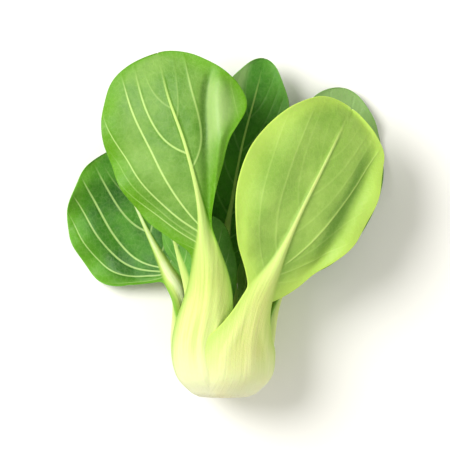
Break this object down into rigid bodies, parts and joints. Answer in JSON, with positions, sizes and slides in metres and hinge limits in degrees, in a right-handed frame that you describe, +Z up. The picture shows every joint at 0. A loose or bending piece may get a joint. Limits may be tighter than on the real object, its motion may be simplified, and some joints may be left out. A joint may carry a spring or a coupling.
{
  "type": "head of baby bok choy",
  "caption": "Small head of leafy greens as picked, lying on its side: pale spoon-shaped stalks swell into a bulb at the base and open into broad rounded green leaves.",
  "frame": {"origin": "middle of the head's box, on the surface that it lies on", "axes": "+Y from the cut base towards the leaf tips, +X to the right seen from above with the tips up, +Z up"},
  "size_m": [0.131, 0.1392, 0.0546],
  "materials": {
    "crown": "matte, moist, cut plant tissue",
    "outer_leaf_back": "satin fresh leaf, pale back",
    "outer_leaf_face": "satin fresh leaf, dark upper face",
    "inner_leaf": "satin fresh young leaf"
  },
  "bodies": {
    "root": {"crown": "crown", "leaf_top_right": "outer_leaf_back", "leaf_top_left": "outer_leaf_back", "leaf_left": "outer_leaf_face", "leaf_under": "outer_leaf_face", "leaf_right": "outer_leaf_face", "leaf_inner_left": "inner_leaf", "leaf_inner_right": "inner_leaf", "heart_leaf_1": "inner_leaf", "heart_leaf_2": "inner_leaf", "heart_leaf_3": "inner_leaf"}
  },
  "joints": []
}
